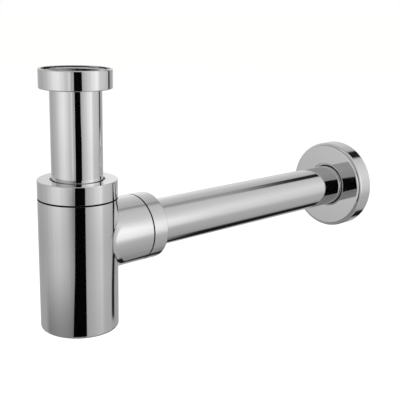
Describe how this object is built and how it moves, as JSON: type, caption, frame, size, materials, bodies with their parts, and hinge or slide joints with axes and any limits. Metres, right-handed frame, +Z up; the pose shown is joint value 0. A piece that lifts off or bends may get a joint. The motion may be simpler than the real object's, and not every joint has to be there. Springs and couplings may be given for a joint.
{
  "type": "bottle trap",
  "caption": "Round chromed bottle trap for a washbasin: union nut, height-adjustable inlet tube, body with side branch, outlet tube and wall flange.",
  "frame": {"origin": "centre of the inlet nut's top face, where the basin waste's thread enters", "axes": "+Z up along the inlet tube, +X along the outlet tube towards the wall"},
  "size_m": [0.3073, 0.07, 0.165],
  "materials": {
    "chrome": "polished chrome plate on brass",
    "slip_ring": "moulded nylon",
    "rubber": "moulded rubber",
    "dip_tube": "moulded polypropylene"
  },
  "bodies": {
    "inlet_nut": {"inlet_nut": "chrome"},
    "inlet_ring": {"inlet_slip_ring": "slip_ring"},
    "inlet_pipe": {"inlet_tube": "chrome", "inlet_gasket": "rubber"},
    "trap": {"body_neck": "chrome", "body_shell": "chrome", "body_base": "chrome", "outlet_branch": "chrome", "dip_tube": "dip_tube", "body_seal": "rubber", "outlet_seal": "rubber"},
    "body_ring": {"body_slip_ring": "slip_ring"},
    "body_nut": {"body_nut": "chrome"},
    "outlet_ring": {"outlet_slip_ring": "slip_ring"},
    "outlet_nut": {"outlet_nut": "chrome"},
    "outlet_pipe": {"outlet_tube": "chrome"},
    "flange": {"wall_flange": "chrome", "flange_o_ring": "rubber"},
    "plug_ring": {"cleanout_o_ring": "rubber"},
    "plug": {"cleanout_plug": "chrome"}
  },
  "joints": [
    {"name": "inlet_nut_drop", "type": "slide", "parent": "inlet_nut", "child": "inlet_ring", "axis": [0, 0, 1], "range_m": [0, 0.02]},
    {"name": "inlet_swivel", "type": "hinge", "parent": "inlet_ring", "child": "inlet_pipe", "pos_m": [0, 0, -0.0092], "axis": [0, 0, 1], "continuous": true},
    {"name": "body_height", "type": "slide", "parent": "inlet_pipe", "child": "trap", "axis": [0, 0, 1], "range_m": [-0.038, 0.025]},
    {"name": "body_ring_lift", "type": "slide", "parent": "trap", "child": "body_ring", "axis": [0, 0, 1], "range_m": [0, 0.0071]},
    {"name": "body_nut_turn", "type": "hinge", "parent": "body_ring", "child": "body_nut", "pos_m": [0, 0, -0.08], "axis": [0, 0, 1], "range_deg": [0, 1260]},
    {"name": "outlet_ring_shift", "type": "slide", "parent": "trap", "child": "outlet_ring", "axis": [1, 0, 0], "range_m": [0, 0.007]},
    {"name": "outlet_nut_turn", "type": "hinge", "parent": "outlet_ring", "child": "outlet_nut", "pos_m": [0.044, 0, -0.1075], "axis": [1, 0, 0], "range_deg": [0, 1080]},
    {"name": "outlet_tube_slide", "type": "slide", "parent": "trap", "child": "outlet_pipe", "axis": [1, 0, 0], "range_m": [-0.003, 0.014]},
    {"name": "flange_slide", "type": "slide", "parent": "outlet_pipe", "child": "flange", "axis": [1, 0, 0], "range_m": [-0.17, 0.018]},
    {"name": "plug_ring_drop", "type": "slide", "parent": "trap", "child": "plug_ring", "axis": [0, 0, -1], "range_m": [0, 0.0051]},
    {"name": "plug_turn", "type": "hinge", "parent": "plug_ring", "child": "plug", "pos_m": [0, 0, -0.165], "axis": [0, 0, -1], "range_deg": [0, 900]}
  ],
  "couplings": [
    {"joint": "body_ring_lift", "follows": "body_nut_turn", "m_per_rad": 0.00031831},
    {"joint": "outlet_ring_shift", "follows": "outlet_nut_turn", "m_per_rad": 0.00036749},
    {"joint": "plug_ring_drop", "follows": "plug_turn", "m_per_rad": 0.00031831}
  ]
}
